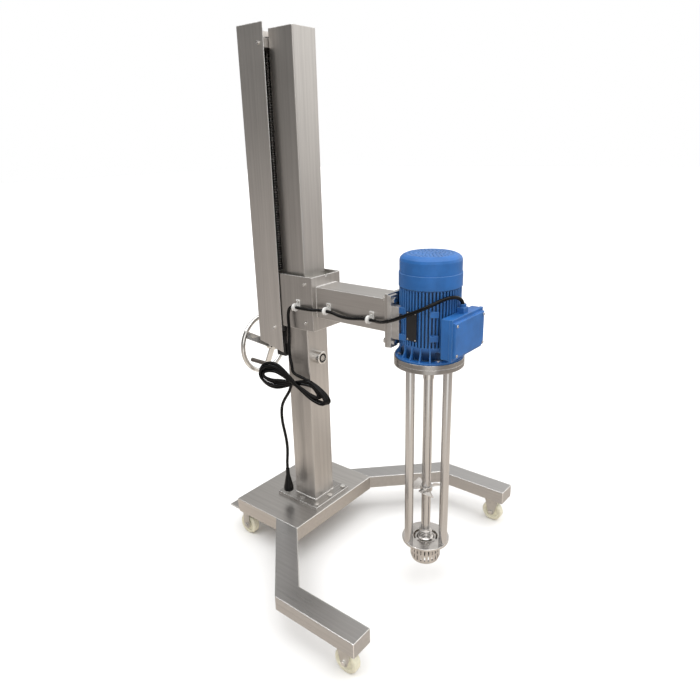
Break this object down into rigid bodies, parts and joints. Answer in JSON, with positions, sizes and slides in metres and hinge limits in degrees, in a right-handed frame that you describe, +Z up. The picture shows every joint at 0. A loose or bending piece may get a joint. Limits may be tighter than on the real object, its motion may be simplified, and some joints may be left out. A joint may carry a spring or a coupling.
{
  "type": "high shear mixer",
  "caption": "Batch high shear mixer on a wheeled stand: a motor, shaft and slotted mixing head on an arm that a handwheel and lead screw raise along a square column.",
  "frame": {"origin": "on the floor, under the middle of the machine's outline seen from above", "axes": "+Z up; +X from the column towards the mixing head; +Y to the machine's left, away from the side that carries the cable"},
  "size_m": [0.956, 0.964, 1.731],
  "materials": {
    "brushed_stainless": "vertical brushed grain, satin",
    "deck_stainless": "brushed sheet, satin",
    "polished_stainless": "polished bright steel",
    "bolt_steel": "bright fastener steel",
    "caster_steel": "pressed zinc plated steel",
    "wheel_cream": "moulded cream nylon",
    "motor_blue": "satin blue enamel",
    "cast_aluminium": "plain cast aluminium",
    "black_oxide": "black oxide and black enamel",
    "screw_steel": "oiled dark steel",
    "bronze": "machined bronze",
    "slide_plastic": "machined sliding plastic",
    "laminations": "stacked laminations",
    "fan_plastic": "moulded black plastic",
    "grip_plastic": "dark moulded plastic",
    "clip_white": "white nylon",
    "cable_black": "black cable sheath",
    "button_metal": "turned steel"
  },
  "bodies": {
    "root": {"base_deck": "deck_stainless", "deck_floor_plate": "deck_stainless", "leg_left": "deck_stainless", "leg_right": "deck_stainless", "foot_plate": "deck_stainless", "foot_bolts": "bolt_steel", "column_tube": "brushed_stainless", "front_caster_forks": "caster_steel", "front_caster_axles": "bolt_steel", "rear_caster_plates": "caster_steel", "screw_guard": "brushed_stainless", "guard_screws": "black_oxide", "top_bearing": "black_oxide", "gear_housing": "black_oxide", "button_body": "button_metal"},
    "carriage": {"slide_collar": "brushed_stainless", "wear_pads": "slide_plastic", "nut_bracket": "brushed_stainless", "lead_nut": "bronze", "arm_tube": "brushed_stainless", "arm_end_plate": "brushed_stainless", "motor_feet": "cast_aluminium", "motor_bolts": "bolt_steel", "motor_housing": "motor_blue", "motor_stator": "laminations", "motor_bearings": "bolt_steel", "end_shields": "motor_blue", "flange_plates": "polished_stainless", "flange_bolts": "bolt_steel", "fan_cover": "motor_blue", "terminal_box": "motor_blue", "terminal_cover": "motor_blue", "cable_gland": "motor_blue", "support_rods": "polished_stainless", "seal_collar": "polished_stainless", "head_disc": "polished_stainless", "stator_head": "polished_stainless", "motor_cable": "cable_black", "cable_clips": "clip_white", "cap_screws": "bolt_steel", "cord_drop": "cable_black", "cord_hank": "cable_black", "cord_tail": "cable_black", "power_plug": "cable_black"},
    "rotor": {"mixer_shaft": "polished_stainless", "rotor_head": "polished_stainless", "propeller": "polished_stainless", "motor_rotor": "laminations", "cooling_fan": "fan_plastic"},
    "screw": {"lead_screw": "screw_steel"},
    "crank": {"handwheel": "polished_stainless", "handwheel_shaft": "bolt_steel"},
    "grip": {"handwheel_grip": "grip_plastic"},
    "button": {"push_button": "button_metal"},
    "swivel_left": {"rear_fork_left": "caster_steel"},
    "swivel_right": {"rear_fork_right": "caster_steel"},
    "front_wheel_left": {"wheel_front_left": "wheel_cream"},
    "front_wheel_right": {"wheel_front_right": "wheel_cream"},
    "rear_wheel_left": {"wheel_rear_left": "wheel_cream"},
    "rear_wheel_right": {"wheel_rear_right": "wheel_cream"}
  },
  "joints": [
    {"name": "lift_slide", "type": "slide", "parent": "root", "child": "carriage", "axis": [0, 0, 1], "range_m": [0, 0.665]},
    {"name": "screw_turn", "type": "hinge", "parent": "root", "child": "screw", "pos_m": [-0.255, 0, 1.2], "axis": [0, 0, 1], "continuous": true},
    {"name": "handwheel_turn", "type": "hinge", "parent": "root", "child": "crank", "pos_m": [-0.325, 0, 0.7025], "axis": [1, 0, 0], "continuous": true},
    {"name": "grip_spin", "type": "hinge", "parent": "crank", "child": "grip", "pos_m": [-0.42, 0.03041, 0.60304], "axis": [1, 0, 0], "continuous": true},
    {"name": "shaft_spin", "type": "hinge", "parent": "carriage", "child": "rotor", "pos_m": [0.345, 0, 0.5], "axis": [0, 0, 1], "continuous": true},
    {"name": "button_push", "type": "slide", "parent": "root", "child": "button", "axis": [-1, 0, 0], "range_m": [0, 0.004], "stiffness_N_per_m": 500, "springref_m": -0.001},
    {"name": "front_left_roll", "type": "hinge", "parent": "root", "child": "front_wheel_left", "pos_m": [0.374, 0.446, 0.038], "axis": [0, 1, 0], "continuous": true},
    {"name": "front_right_roll", "type": "hinge", "parent": "root", "child": "front_wheel_right", "pos_m": [0.374, -0.446, 0.038], "axis": [0, 1, 0], "continuous": true},
    {"name": "rear_left_swivel", "type": "hinge", "parent": "root", "child": "swivel_left", "pos_m": [-0.314, 0.179, 0.092], "axis": [0, 0, 1], "continuous": true},
    {"name": "rear_right_swivel", "type": "hinge", "parent": "root", "child": "swivel_right", "pos_m": [-0.314, -0.179, 0.092], "axis": [0, 0, 1], "continuous": true},
    {"name": "rear_left_roll", "type": "hinge", "parent": "swivel_left", "child": "rear_wheel_left", "pos_m": [-0.321, 0.179, 0.038], "axis": [0, 1, 0], "continuous": true},
    {"name": "rear_right_roll", "type": "hinge", "parent": "swivel_right", "child": "rear_wheel_right", "pos_m": [-0.321, -0.179, 0.038], "axis": [0, 1, 0], "continuous": true}
  ],
  "couplings": [
    {"joint": "handwheel_turn", "follows": "lift_slide", "rad_per_m": -785.4},
    {"joint": "screw_turn", "follows": "lift_slide", "rad_per_m": -785.4}
  ]
}
